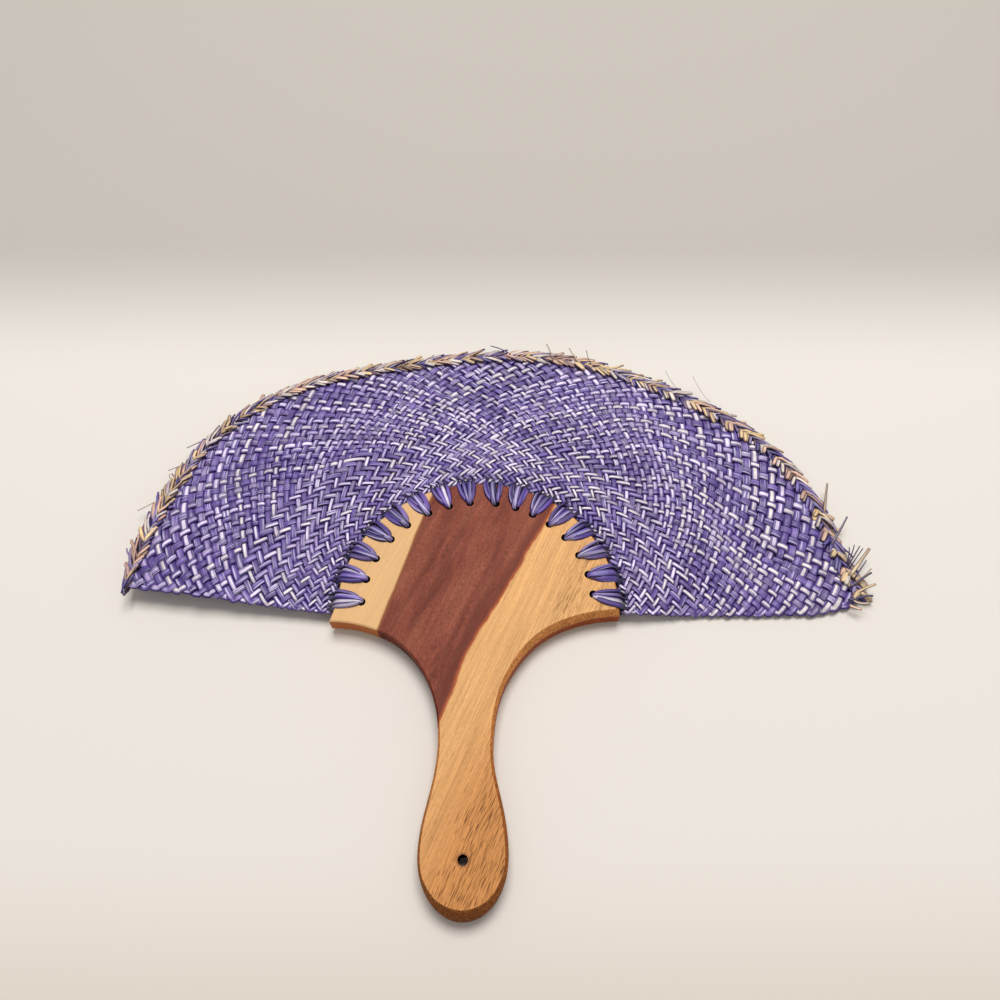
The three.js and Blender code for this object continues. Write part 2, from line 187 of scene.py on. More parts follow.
def oiledHardwood():
    look = woodLook
    material, tree, shader = newMaterial("oiled_hardwood_heart_and_sap")
    turn = math.radians(look["grainAngle"])
    along = Vector((math.cos(turn), math.sin(turn), 0))
    across = Vector((-math.sin(turn), math.cos(turn), 0))
    shift = (-along.dot(ringMiddle) / mm, -across.dot(ringMiddle) / mm, -ringMiddle.z / mm)
    where = addNode(tree, "ShaderNodeTexCoord")
    grain = addNode(tree, "ShaderNodeMapping", {}, {
        "Vector": where.outputs["Object"], "Rotation": (0, 0, -turn),
        "Scale": (1 / mm, 1 / mm, 1 / mm), "Location": shift})
    split = addNode(tree, "ShaderNodeSeparateXYZ", {}, {0: grain.outputs[0]})
    level = {"along": split.outputs[0], "across": split.outputs[1]}
    for name, (length, width, detail, roughness, distortion) in look["patterns"].items():
        place = addNode(tree, "ShaderNodeMapping", {}, {
            "Vector": grain.outputs[0], "Scale": (1 / length, 1 / width, 1 / width)})
        texture = addNode(tree, "ShaderNodeTexNoise", {}, {
            "Vector": place.outputs[0], "Scale": 1.0, "Detail": detail, "Roughness": roughness,
            "Distortion": distortion})
        level[name] = texture.outputs[0]

    # The hanging hole's lip is scuffed brown
    fromHole = addNode(tree, "ShaderNodeVectorMath", {"operation": "SUBTRACT"}, {
        0: where.outputs["Object"], 1: inFrame(board["gripOffset"], -board["hangDrop"])})
    flatten = addNode(tree, "ShaderNodeVectorMath", {"operation": "MULTIPLY"}, {
        0: fromHole.outputs[0], 1: (1 / mm, 1 / mm, 0)})
    holeDistance = addNode(tree, "ShaderNodeVectorMath", {"operation": "LENGTH"}, {0: flatten.outputs[0]})
    lip = addNode(tree, "ShaderNodeMapRange", {"interpolation_type": "SMOOTHSTEP"}, {
        "Value": holeDistance.outputs["Value"], "From Min": board["hangWidth"] / 2 + look["scuffWidth"],
        "From Max": board["hangWidth"] / 2})

    # Sawn sides are browner than the sanded faces, and the carved edges are left rasped
    facing = addNode(tree, "ShaderNodeNewGeometry")
    tilt = addNode(tree, "ShaderNodeSeparateXYZ", {}, {0: facing.outputs["True Normal"]})
    upright = addNode(tree, "ShaderNodeMath", {"operation": "ABSOLUTE"}, {0: tilt.outputs[2]})
    level.update({"lip": lip.outputs[0], "upright": upright.outputs[0]})

    # Tables with an easing hold ranges, the others sums
    tables = {"strays": "LINEAR", "borders": None, "zones": "SMOOTHSTEP", "tones": "LINEAR", "sums": None}
    for table, easing in tables.items():
        for name, (first, *rest) in look[table].items():
            if easing:
                limits = dict(zip(("From Min", "From Max", "To Min", "To Max"), rest))
                reckoned = addNode(tree, "ShaderNodeMapRange", {"interpolation_type": easing}, {
                    "Value": level[first], **limits})
            else:
                reckoned = addNode(tree, "ShaderNodeMath", {"operation": first}, {
                    place: level.get(term, term) for place, term in enumerate(rest)})
            level[name] = reckoned.outputs[0]

    # Open pores: fine dashes in groups, all in the growth band along the right-hand side
    poreMask = addNode(tree, "ShaderNodeMapRange", {"interpolation_type": "SMOOTHSTEP"}, {
        "Value": level["poreLevel"], "From Min": look["poreFrom"], "From Max": look["poreFull"],
        "To Max": level["poreShare"]})
    level["poreMask"] = poreMask.outputs[0]

    # Clouded red heartwood and streaked sapwood, then pores, scuffs, tool marks and painted shade on the
    # rasped edges over both
    paint = {name: linear(value) for name, value in look.items() if isinstance(value, str)}
    clouds = [paint["heartDark"], paint["heart"], paint["heartLight"]]
    clouded = setRamp(addNode(tree, "ShaderNodeValToRGB", {}, {0: level["cloud"]}), [
        *zip(look["heartStops"], clouds)])
    # painted shade: the rasped edges' tone, darkened towards the grip's end
    shadedEdge = addNode(tree, "ShaderNodeVectorMath", {"operation": "SCALE"}, {
        0: paint["edgeTone"][:3], "Scale": level["endShade"]})
    paint.update({"clouded": clouded.outputs[0], "shadedEdge": shadedEdge.outputs[0]})
    paint.update({name: level[name] for name in ("grown", "flecked", "gritTone")})
    for name, (blend, share, below, above) in look["layers"].items():
        mixed = addNode(tree, "ShaderNodeMix", {"data_type": "RGBA", "blend_type": blend}, {
            0: level.get(share, share), 6: paint[below], 7: paint[above]})
        paint[name] = mixed.outputs[2]
    tree.links.new(paint["finished"], shader.inputs["Base Color"])

    # Satin oil: duller where the streaks are open, with pores sunk in the skin
    tree.links.new(level["satin"], shader.inputs["Roughness"])
    shader.inputs["Specular IOR Level"].default_value = look["sheen"]
    dent = addNode(tree, "ShaderNodeBump", {"invert": True}, {
        "Height": level["poreMask"], "Strength": look["poreDent"], "Distance": look["dentDepth"] * mm})
    fibre = addNode(tree, "ShaderNodeBump", {}, {
        "Height": level["streak"], "Strength": look["fibreDent"], "Distance": look["dentDepth"] * mm,
        "Normal": dent.outputs[0]})
    tree.links.new(fibre.outputs[0], shader.inputs["Normal"])
    return material


# Drilled bores, painted nearly black: painted shade down the deep holes
boreLook = {"boreShade": "#0d0604", "roughness": 0.9}


def shadedBore():
    material, tree, shader = newMaterial("shaded_drilled_bore")
    shader.inputs["Base Color"].default_value = linear(boreLook["boreShade"])
    shader.inputs["Roughness"].default_value = boreLook["roughness"]
    shader.inputs["Specular IOR Level"].default_value = 0.0
    return material


# Palm leaf split into strips, dyed in the vat and dried: waxy satin skin with fine lengthwise ribs;
# the dye takes unevenly, painted shade darkens each strip along its edges and a painted highlight pales the
# crests that stand up
leafLook = {
    # the flank tone and each material's edge tone are painted shade on a strip's sides; the pale crest tone
    # is a painted highlight
    "crestWidth": 0.34, "crestFade": 0.16, "flank": "#bcb2dc", "darkStreak": "#b0a4d2", "shineTone": "#efe8f6",
    "blotch": "#cbc6d6", "blotchSize": 9, "blotchShare": 0.8,
    "roughness": 0.42, "ribDent": 0.4, "ribDepth": 0.12,
    "streakStops": (0.34, 0.52), "blotchStops": (0.35, 0.6), "foldStops": (0.44, 0.66, 0.86, 0.98),
    "thinFrom": 0.52, "thinFull": 0.66,
    # patterns along a strip: length and width in millimetres
    "patterns": {"streak": (46, 1.15), "rib": (30, 0.3)},
}


# the edge tone is the painted shade at the very edges of each strip
def palmLeaf(name, edgeTone):
    look = leafLook
    material, tree, shader = newMaterial(name)
    strip = addNode(tree, "ShaderNodeUVMap", {"uv_map": "strip"})
    profile = addNode(tree, "ShaderNodeUVMap", {"uv_map": "profile"})
    crest = addNode(tree, "ShaderNodeAttribute", {"attribute_name": "crestDyeAndShine"})
    flank = addNode(tree, "ShaderNodeAttribute", {"attribute_name": "flankDye"})
    where = addNode(tree, "ShaderNodeTexCoord")
    pattern = {}
    for mark, (length, width) in look["patterns"].items():
        place = addNode(tree, "ShaderNodeMapping", {}, {
            "Vector": strip.outputs[0], "Scale": (1 / length, 1 / width, 1.0)})
        texture = addNode(tree, "ShaderNodeTexNoise", {}, {
            "Vector": place.outputs[0], "Scale": 1.0, "Detail": 2.0, "Roughness": 0.6})
        pattern[mark] = texture.outputs[0]
    blotch = addNode(tree, "ShaderNodeTexNoise", {}, {
        "Vector": where.outputs["Object"], "Scale": 1 / (look["blotchSize"] * mm), "Detail": 3.0,
        "Roughness": 0.6})

    # Across the strip: 0 on its crest, 1 at either edge
    split = addNode(tree, "ShaderNodeSeparateXYZ", {}, {0: profile.outputs[0]})
    signed = addNode(tree, "ShaderNodeMath", {"operation": "MULTIPLY_ADD"}, {
        0: split.outputs[1], 1: 2.0, 2: -1.0})
    aside = addNode(tree, "ShaderNodeMath", {"operation": "ABSOLUTE"}, {0: signed.outputs[0]})
    offCrest = addNode(tree, "ShaderNodeMapRange", {"interpolation_type": "SMOOTHSTEP"}, {
        "Value": aside.outputs[0], "From Min": look["crestWidth"],
        "From Max": look["crestWidth"] + look["crestFade"]})

    # Dye: streaked along the leaf and blotched, with painted shade on the sides and painted highlight lines
    # where it stands up
    # the side and edge tones paint shade along each strip's sides
    white, sides = "#ffffff", look["flank"]
    ramp = {}
    for mark, source, tones in (
            ("streakStops", pattern["streak"], (look["darkStreak"], white)),
            ("blotchStops", blotch.outputs[0], (look["blotch"], white)),
            ("foldStops", aside.outputs[0], (white, sides, sides, edgeTone))):
        toned = setRamp(addNode(tree, "ShaderNodeValToRGB", {}, {0: source}), [
            *zip(look[mark], map(linear, tones))])
        ramp[mark] = toned.outputs[0]
    thin = addNode(tree, "ShaderNodeMapRange", {"interpolation_type": "SMOOTHSTEP"}, {
        "Value": pattern["streak"], "From Min": look["thinFrom"], "From Max": look["thinFull"]})
    standing = addNode(tree, "ShaderNodeMath", {"operation": "MULTIPLY"}, {
        0: thin.outputs[0], 1: split.outputs[0]})
    # painted highlight: pale lines along the crests that stand over a crossing
    shineShare = addNode(tree, "ShaderNodeMath", {"operation": "MULTIPLY"}, {
        0: standing.outputs[0], 1: crest.outputs["Alpha"]})
    paint = crest.outputs["Color"]
    for blend, share, over in (
            ("MIX", offCrest.outputs[0], flank.outputs["Color"]), ("MULTIPLY", 1.0, ramp["streakStops"]),
            ("MULTIPLY", look["blotchShare"], ramp["blotchStops"]), ("MULTIPLY", 1.0, ramp["foldStops"]),
            ("MIX", shineShare.outputs[0], linear(look["shineTone"]))):
        layer = addNode(tree, "ShaderNodeMix", {"data_type": "RGBA", "blend_type": blend}, {
            0: share, 6: paint, 7: over})
        paint = layer.outputs[2]
    tree.links.new(paint, shader.inputs["Base Color"])
    shader.inputs["Roughness"].default_value = look["roughness"]
    ridge = addNode(tree, "ShaderNodeBump", {}, {
        "Height": pattern["rib"], "Strength": look["ribDent"], "Distance": look["ribDepth"] * mm})
    tree.links.new(ridge.outputs[0], shader.inputs["Normal"])
    return material


def finishPiece(piece, material, slot, *nodes):
    piece.data.materials.clear()
    piece.data.materials.append(material)
    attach(piece, "root")
    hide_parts(*nodes)


# Carved board
def holeAngle(hole):
    even = board["holeLeft"] + (board["holeRight"] - board["holeLeft"]) * hole / (board["holeCount"] - 1)
    return math.radians(even + board["holeStray"][hole])


def carvedEdge(spot):
    rows = board["edgesRight"] if spot[0] > board["gripOffset"] else board["edgesLeft"]
    return np.interp(spot[1], [row[0] for row in rows], [row[1] for row in rows])


def carveBoard():
    b = board
    r = b["headRadius"]
    roundHandle = 0.5523   # a Bezier handle's share of the radius, for a quarter turn
    quarter, endLong, endWide = r * roundHandle, roundHandle * b["gripEnd"], roundHandle * b["gripHalfWidth"]
    middle, pull, swell = b["gripOffset"], b["shoulderPull"], b["gripSwell"]
    neck = [middle - b["neckHalfWidth"], middle + b["neckHalfWidth"]]
    grip = [middle - b["gripHalfWidth"], middle + b["gripHalfWidth"]]
    left, right = -b["skirtLeft"], -b["skirtRight"]
    waist, low = -b["neckDrop"], -b["gripDrop"]
    bottom = low - b["gripEnd"]
    # each row: point, handle before it, handle after it
    rows = [
        ((r, right), (r + pull * (neck[1] - r), right), (r, right / 2)),
        ((r, 0), (r, right / 2), (r, quarter)),
        ((0, r), (quarter, r), (-quarter, r)),
        ((-r, 0), (-r, quarter), (-r, left / 2)),
        ((-r - b["skirtFlare"], left), (-r, left / 2), (-r + pull * (neck[0] + r), left)),
        ((neck[0], waist), (neck[0], waist + pull * (left - waist)), (neck[0], waist - swell)),
        ((grip[0], low), (grip[0], low + swell), (grip[0], low - endLong)),
        ((middle, bottom), (middle - endWide, bottom), (middle + endWide, bottom)),
        ((grip[1], low), (grip[1], low - endLong), (grip[1], low + swell)),
        ((neck[1], waist), (neck[1], waist - swell), (neck[1], waist + pull * (right - waist))),
    ]
    bpy.ops.curve.primitive_bezier_circle_add(location=(0, 0, 0))
    piece = bpy.context.object
    piece.name = "carved_handle"
    piece.data.resolution_u = b["outlineSteps"]
    spline = piece.data.splines[0]
    spline.bezier_points.add(len(rows) - len(spline.bezier_points))
    for knot, (point, before, after) in zip(spline.bezier_points, rows):
        knot.handle_left_type = knot.handle_right_type = "FREE"
        knot.co = inFrame(*point)
        knot.handle_left = inFrame(*before)
        knot.handle_right = inFrame(*after)
    bpy.ops.object.convert(target="MESH")
    outline, hair = [], 0.01
    for vertex in piece.data.vertices:
        x, y, _ = (vertex.co - ringMiddle) / mm
        if abs(x) > r - hair and (right if x > 0 else left) + hair < y < -hair:
            continue   # the skirts' short sides are straight
        at = Vector((x, y, 0)) / b["waverLength"]   # a hand-cut outline wavers a little
        elsewhere = at + Vector((7, 3, 1))
        outline.append((x + b["waver"] * noise.noise(at), y + b["waver"] * noise.noise(elsewhere)))

    # Rings from the rear face round the edges to the front face, set in along the mitre of each corner
    outline = np.array(outline)
    leave = np.roll(outline, -1, 0) - outline
    leave /= np.linalg.norm(leave, axis=1, keepdims=True)
    inLeave = np.stack([-leave[:, 1], leave[:, 0]], -1)
    inCome = np.roll(inLeave, 1, 0)
    mitre = (inCome + inLeave) / (1 + (inCome * inLeave).sum(1))[:, None]
    width = np.array([carvedEdge(spot) for spot in outline])
    turn = np.linspace(0, math.pi / 2, b["edgeSteps"] + 1)
    half = b["thickness"] / 2
    back = np.full(len(outline), b["edgeBack"])
    rings = []
    for face, edge, steps in ((-1, back, turn[::-1]), (1, width, turn)):
        for step in steps:
            inset, drop = 1 - math.cos(step) ** b["edgeBulge"], 1 - math.sin(step) ** b["edgeBulge"]
            rings.append((outline + mitre * (edge * inset)[:, None], face * (half - edge * drop)))
    points = [inFrame(x, y, z) for flat, level in rings for (x, y), z in zip(flat, level)]
    size = len(outline)
    faces = [(k * size + i, k * size + (i + 1) % size, (k + 1) * size + (i + 1) % size, (k + 1) * size + i)
             for k in range(len(rings) - 1) for i in range(size)]
    faces += [tuple(range(size - 1, -1, -1)), tuple(range(len(points) - size, len(points)))]
    piece.data = bpy.data.meshes.new("carved_handle")
    piece.data.from_pydata(points, [], faces)
    bpy.ops.object.mode_set(mode="EDIT")
    bpy.ops.mesh.select_all(action="SELECT")
    bpy.ops.mesh.quads_convert_to_tris(ngon_method="BEAUTY")   # so that the drills leave simple faces
    bpy.ops.object.mode_set(mode="OBJECT")

    drills = [(b["holeRing"] * math.cos(holeAngle(h)), b["holeRing"] * math.sin(holeAngle(h)), b["holeWidth"])
              for h in range(b["holeCount"])]
    drills.append((b["gripOffset"], -b["hangDrop"], b["hangWidth"]))
    bits = []
    bpy.ops.object.select_all(action="DESELECT")
    for x, y, width in drills:
        bpy.ops.mesh.primitive_cylinder_add(
            vertices=b["drillSides"], radius=width / 2 * mm, depth=(b["thickness"] + b["drillPast"]) * mm,
            location=inFrame(x, y), rotation=(0, 0, b["drillTurn"]))
        bits.append(bpy.context.object)
    for bit in bits:
        bit.select_set(True)
    bpy.ops.object.join()
    bit = bpy.context.object
    bpy.ops.object.select_all(action="DESELECT")
    piece.select_set(True)
    bpy.context.view_layer.objects.active = piece
    cut = piece.modifiers.new("drill", "BOOLEAN")
    cut.object = bit
    cut.solver = "MANIFOLD"
    bpy.ops.object.modifier_apply(modifier=cut.name)
    bpy.data.objects.remove(bit)
    for vertex in piece.data.vertices:   # the faces stay flat to the last digit
        for level in (boardLow.z, boardHigh.z):
            if abs(vertex.co.z - level) < b["flatWithin"] * mm:
                vertex.co.z = level
    bpy.ops.object.shade_smooth_by_angle(angle=math.radians(b["smoothAngle"]))
    finishPiece(piece, oiledHardwood(), "carved_wood", "handle")
    # the bore walls take the painted shade
    piece.data.materials.append(shadedBore())
    for face in piece.data.polygons:
        spot = (face.center - ringMiddle) / mm
        near = any(math.hypot(spot.x - x, spot.y - y) < wide / 2 + b["boreWithin"] for x, y, wide in drills)
        face.material_index = int(near and abs(face.normal.z) < b["boreTilt"])
    print("board carved:", len(piece.data.polygons), "faces")


# Blade surface, drawn about the ring's middle; it runs on under the braid, past the end of the frame's mat.
# Share 0 is its right-hand edge, 1 the left-hand one
blade = {
    "innerRadius": 80.5, "reachLeft": 200.5, "reachRight": 211.5, "height": 188, "fullness": 2.34,
    "wander": 3, "wanderTurns": 6.2, "wanderCrest": 80, "footLeft": 184.7, "footRight": -4.5,
    "tipLeft": 178.0, "tipRight": -1.5, "droop": 4.9, "liftLeft": 14, "liftSpan": 0.17, "liftLoss": 0.35,
    "fallFrom": 0.08, "fallSpan": 0.92, "fallRight": 0.34, "fallSide": 0.12, "fallSooner": 0.05,
    "tipReach": 9, "tipSpan": 0.04,
    "cornerFrom": 190, "cornerReach": 24, "cornerRise": 5.3, "cornerSpan": 0.09,
}


def smooth(x):
    x = np.clip(x, 0, 1)
    return x * x * (3 - 2 * x)


def rimLineAt(share, margin=0.0):
    b = blade
    angle = np.radians(b["tipRight"] + (b["tipLeft"] - b["tipRight"]) * share)
    tip = b["tipReach"] * np.exp(-(share / b["tipSpan"]) ** 2)
    reach = np.where(np.cos(angle) > 0, b["reachRight"] + tip, b["reachLeft"]) + margin
    across = (np.abs(np.cos(angle)) / reach) ** b["fullness"]
    along = (np.abs(np.sin(angle)) / (b["height"] + margin)) ** b["fullness"]
    waver = b["wander"] * np.cos(b["wanderTurns"] * (angle - math.radians(b["wanderCrest"])))
    radius = (across + along) ** (-1 / b["fullness"]) + waver
    return np.stack([radius * np.cos(angle), radius * np.sin(angle)], -1)


# The lower edge turns up into the rim at its right-hand end
def roundCorner(share, flat):
    b = blade
    past = np.maximum(flat[..., 0] - b["cornerFrom"], 0) / b["cornerReach"]
    near = 1 - smooth(share / b["cornerSpan"])
    rise = b["cornerRise"] * past ** 2 * near
    return np.stack([flat[..., 0], flat[..., 1] + rise], -1)


def bladeLevel(share, out):
    b = blade
    sooner = np.exp(-(share / b["fallSide"]) ** 2)
    span = b["fallSpan"] + (b["fallRight"] - b["fallSpan"]) * sooner
    past = smooth((out - b["fallFrom"] + b["fallSooner"] * sooner) / span)
    lift = b["liftLeft"] * np.exp(-((share - 1) / b["liftSpan"]) ** 2)
    return past * (lift * (1 - b["liftLoss"] * out) - b["droop"])


def footAngle(share):
    return np.radians(blade["footRight"] + (blade["footLeft"] - blade["footRight"]) * share)


def bladePoint(share, radius):
    angle = footAngle(share)
    foot = blade["innerRadius"] * np.stack([np.cos(angle), np.sin(angle)], -1)
    rim = rimLineAt(share)
    reach = np.linalg.norm(rim, axis=-1)
    out = (radius - blade["innerRadius"]) / (reach - blade["innerRadius"])
    flat = roundCorner(share, foot + (rim - foot) * out[..., None])
    return np.concatenate([flat, bladeLevel(share, out)[..., None]], -1), out


# Strips are skinned one by one and joined into one mesh for each piece; a strip is flat with folded sides
lens = [(-1, 0), (-0.6, 0.4), (0, 0.5), (0.6, 0.4), (1, 0), (0.6, -0.4), (0, -0.5), (-0.6, -0.4)]
cutEdges = (1, 3, 5, 7)   # places in that section whose long edges stay sharp
girth = np.array([0, 0.49, 0.98, 1.47, 1.96, 1.47, 0.98, 0.49])   # across it, in half widths
dyeStep = 13.7   # each strip's streaks start this far on from the last one's


def runAlong(points):
    return np.concatenate([[0], np.cumsum(np.linalg.norm(np.diff(points, axis=0), axis=1))])


class Strips:
    def __init__(self):
        self.points, self.faces, self.count = [], [], 0
        self.colours, self.flanks, self.uvs, self.profiles = [], [], [], []

    def add(self, middle, side, up, halfWidth, thickness, colour, shine=0.5, over=1.0, crease=0.0, fold=1.0,
            flank=None):
        section = np.array(lens, float)
        section[[2, 6], 1] *= 1 + crease
        rings, size = len(middle), len(section)
        halfWidth = np.broadcast_to(halfWidth, rings)
        thickness = np.broadcast_to(thickness, rings)
        skin = (middle[:, None]
                + side[:, None] * (halfWidth[:, None] * section[None, :, 0])[..., None]
                + up[:, None] * (thickness[:, None] * section[None, :, 1])[..., None])
        start = self.count * dyeStep
        self.points.append(skin.reshape(-1, 3))
        paint = np.broadcast_to(colour, (rings, 3))
        # the alpha carries how much painted highlight the crest takes
        paint = np.concatenate([paint, np.broadcast_to(shine, rings)[:, None]], 1)
        sides = np.broadcast_to(colour if flank is None else flank, (rings, 3))
        sides = np.concatenate([sides, np.ones((rings, 1))], 1)
        self.colours.append(np.repeat(paint, size, axis=0))
        self.flanks.append(np.repeat(sides, size, axis=0))
        self.uvs.append(np.stack([
            np.repeat(start + runAlong(middle), size),
            (girth[None] * halfWidth[:, None] + start).reshape(-1)], -1))
        # how far in from the edges the flank colour and the painted edge shade reach
        aside = np.clip(np.broadcast_to(fold, rings)[:, None] * section[None, :, 0], -1, 1)
        self.profiles.append(np.stack([
            np.repeat(np.broadcast_to(over, rings), size), (aside / 2 + 0.5).reshape(-1)], -1))
        base = sum(len(p) for p in self.points[:-1])
        a = np.arange(rings - 1)[:, None] * size + np.arange(size)[None]
        b = np.arange(rings - 1)[:, None] * size + (np.arange(size)[None] + 1) % size
        quads = np.stack([a, a + size, b + size, b], -1).reshape(-1, 4) + base
        self.faces.extend(map(tuple, quads))
        self.faces.append(tuple(base + k for k in range(size)))
        self.faces.append(tuple(base + (rings - 1) * size + k for k in reversed(range(size))))
        self.count += 1

    def build(self, name):
        placed = np.concatenate(self.points) * mm + np.array(ringMiddle)
        placed[:, 2] = np.maximum(placed[:, 2], 0)   # pressed flat where it meets the table
        mesh = bpy.data.meshes.new(name)
        mesh.from_pydata(placed.tolist(), [], self.faces)
        for layerName, rows in (("crestDyeAndShine", self.colours), ("flankDye", self.flanks)):
            layer = mesh.attributes.new(layerName, "FLOAT_COLOR", "POINT")
            layer.data.foreach_set("color", np.concatenate(rows).reshape(-1).astype(np.float32))
        corner = np.empty(len(mesh.loops), np.int32)
        mesh.loops.foreach_get("vertex_index", corner)
        for mapName, rows in (("strip", self.uvs), ("profile", self.profiles)):
            uv = mesh.uv_layers.new(name=mapName)
            uv.data.foreach_set("uv", np.concatenate(rows)[corner].reshape(-1).astype(np.float32))
        mesh.polygons.foreach_set("use_smooth", [True] * len(mesh.polygons))
        ends = np.empty(2 * len(mesh.edges), np.int32)
        mesh.edges.foreach_get("vertices", ends)
        first, second = (ends.reshape(-1, 2) % len(lens)).T
        sharp = mesh.attributes.new("sharp_edge", "BOOLEAN", "EDGE")
        sharp.data.foreach_set("value", (first == second) & np.isin(first, cutEdges))
        mesh.update()
        piece = bpy.data.objects.new(name, mesh)
        bpy.context.collection.objects.link(piece)
        return piece


def directions(middle, up):
    along = np.gradient(middle, axis=0)
    along /= np.linalg.norm(along, axis=1, keepdims=True)
    side = np.cross(along, up)
    side /= np.linalg.norm(side, axis=1, keepdims=True)
    return side, np.cross(side, along)


# Plait: two families of strips lean left and right at the same slope; near the board they pass over two
# and under two, which makes rings of herringbone, and further out over one and under one
plait = {
    "strips": 67, "ringGrowth": 0.0196, "ringCrowd": 0.0012, "startRing": 0.667, "lastRing": 68, "samples": 3,
    # rings of herringbone, how many more come in towards the left, and over which strips
    "herringboneRings": 25, "herringboneLeft": 6, "herringboneFrom": 46, "herringboneSpan": 10,
    "rise": 0.66, "riseFrom": 0.22, "riseSpan": 0.56, "thickness": 0.85, "foldRound": 0.4, "rimLap": 1.02,
    "warp": 1.5, "warpOut": 1.3, "warpSpan": 13, "warpLayers": (3.3, 7.7), "edgeHold": 6, "footHold": 10,
    # strays of a strip: how far, pace from ring to ring and from strip to strip, layer of the noise
    "sway": (0.14, 0.22, 3.1, 0), "roll": (math.radians(16), 0.35, 1.7, 2), "waver": (0.14, 0.5, 2.3, 4),
    # range of how much painted highlight a strip takes
    "spacing": 1.03, "widths": (0.92, 1.06), "shines": (0.35, 1.15), "creases": (-0.9, 0.9),
    "tones": (0.88, 1.12), "toneCount": 40, "toneRings": 2,
    # leaning left or right, name, seed, share of the strips after which pale ones are rarer
    "families": [(True, "plait_leaning_left", 11, 0.5), (False, "plait_leaning_right", 23, 0.85)],
    # dye on the crest and on the flanks, width against the spacing, how much painted highlight it takes,
    # share of its kind
    "violet": [
        ("#7b62a5", "#7b62a5", 0.97, 0.6, 12), ("#866db4", "#866db4", 0.96, 0.9, 15),
        ("#9076bc", "#8d74b8", 0.95, 1.0, 11), ("#937fab", "#937fab", 0.96, 0.7, 4),
        ("#c6b0da", "#8a76b0", 0.93, 0.9, 7),
    ],
    "pale": [("#ffeeff", "#9480b8", 0.90, 0.6, 9), ("#fff3ea", "#9886b2", 0.88, 0.5, 9)],
    "paleEvery": (1, 1, 2, 3, 3, 4), "paleRarer": 2,
    "footShade": 0.02, "footRings": 2.6, "crownShine": 0.5, "crownSpan": 0.14,
    # how far the flank colour and the painted edge shade reach, growing towards the rim
    "fold": 0.14, "foldFrom": 95, "foldSpan": 90,
}


def leftOver(ring, place):
    more = smooth((place - plait["herringboneFrom"]) / plait["herringboneSpan"])
    if ring < plait["herringboneRings"] + plait["herringboneLeft"] * more:
        return ring % 4 < 2
    return ring % 2 == 0


def ringRadius(ring):
    return blade["innerRadius"] * np.exp(plait["ringGrowth"] * ring * (1 - plait["ringCrowd"] * ring))


def dealDyes(rng, count, rareFrom):
    dyes, wait = [], rng.choice(plait["paleEvery"])
    for index in range(count):
        wait -= 1
        kind = plait["violet"] if wait > 0 else plait["pale"]
        if wait <= 0:
            wait = rng.choice(plait["paleEvery"]) + plait["paleRarer"] * (index > count * rareFrom)
        dyes.append(rng.choices(kind, [dye[4] for dye in kind])[0])
    return dyes


# Hand work crowds the strips in places; both families are moved together so that the crossings still meet
def crowd(place, ring):
    p = plait
    fromEdge = np.minimum(place, p["strips"] - place)
    hold = smooth(fromEdge / p["edgeHold"]) * smooth(ring / p["footHold"]) * p["warp"]
    layer, further = p["warpLayers"]
    spots = [Vector((a / p["warpSpan"], r / p["warpSpan"], layer)) for a, r in zip(place, ring)]
    aside = np.array([noise.noise(s) for s in spots])
    outward = np.array([noise.noise(s + Vector((0, 0, further))) for s in spots])
    return place + hold * aside, ring + p["warpOut"] * hold * outward


